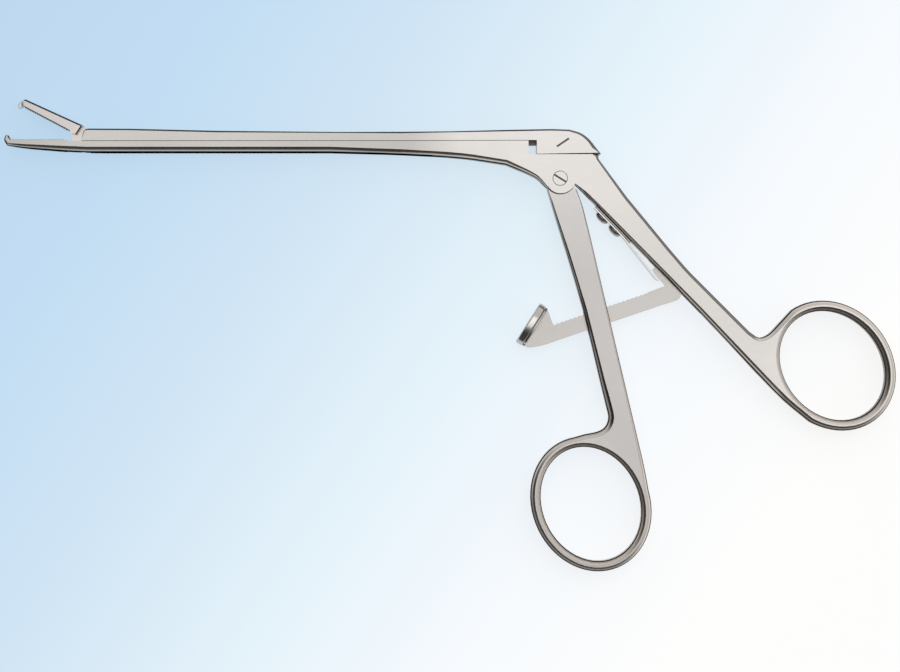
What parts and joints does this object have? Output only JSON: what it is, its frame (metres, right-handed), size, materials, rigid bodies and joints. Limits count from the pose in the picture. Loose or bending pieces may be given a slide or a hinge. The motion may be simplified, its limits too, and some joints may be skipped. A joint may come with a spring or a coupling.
{
  "type": "arthroscopic grasping forceps",
  "caption": "Slim sliding-shaft grasping forceps with toothed hooked jaws, two finger rings and a sprung ratchet bar, in satin steel.",
  "frame": {"origin": "Centre of the underside of the instrument as it lies on its side; the shaft runs along X with the jaws at -X, the handles hang towards -Y.", "axes": "+X runs along the shaft from the jaws to the handles, +Y goes from the finger rings up to the shaft, and +Z comes out of the near side, up as the instrument lies"},
  "size_m": [0.2136, 0.113, 0.0066],
  "materials": {
    "satin_steel": "stainless steel, satin, finely brushed",
    "polished_steel": "stainless steel, polished",
    "dark_steel": "blackened steel, half gloss"
  },
  "bodies": {
    "frame": {"fixed_frame": "satin_steel", "handle_pivot_screw": "satin_steel", "jaw_pivot_pin": "satin_steel", "ratchet_pin": "satin_steel", "ratchet_spring": "polished_steel", "spring_backing_strip": "polished_steel", "spring_screw_upper": "dark_steel", "spring_screw_lower": "dark_steel"},
    "slide": {"sliding_shaft": "satin_steel", "drive_screw": "satin_steel", "jaw_link_pin": "satin_steel"},
    "jaw": {"upper_jaw": "satin_steel"},
    "front_handle": {"front_handle": "satin_steel"},
    "ratchet": {"ratchet_bar": "satin_steel", "finger_pad": "polished_steel"}
  },
  "joints": [
    {"name": "handle", "type": "hinge", "parent": "frame", "child": "front_handle", "pos_m": [0.0263, 0.03753, 0.0033], "axis": [0, 0, 1], "range_deg": [0, 10.4]},
    {"name": "slide", "type": "slide", "parent": "frame", "child": "slide", "axis": [-1, 0, 0], "range_m": [0, 0.00156]},
    {"name": "jaw", "type": "hinge", "parent": "frame", "child": "jaw", "pos_m": [-0.08794, 0.04523, 0.0033], "axis": [0, 0, 1], "range_deg": [0, 27.81]},
    {"name": "ratchet", "type": "hinge", "parent": "frame", "child": "ratchet", "pos_m": [0.0542, 0.01373, 0.0033], "axis": [0, 0, 1], "range_deg": [0, 1.2], "stiffness_Nm_per_rad": 0.5, "deforming": ["ratchet_spring"]}
  ],
  "couplings": [
    {"joint": "slide", "follows": "handle", "m_per_rad": 0.00857},
    {"joint": "jaw", "follows": "handle", "ratio": 2.6731}
  ]
}
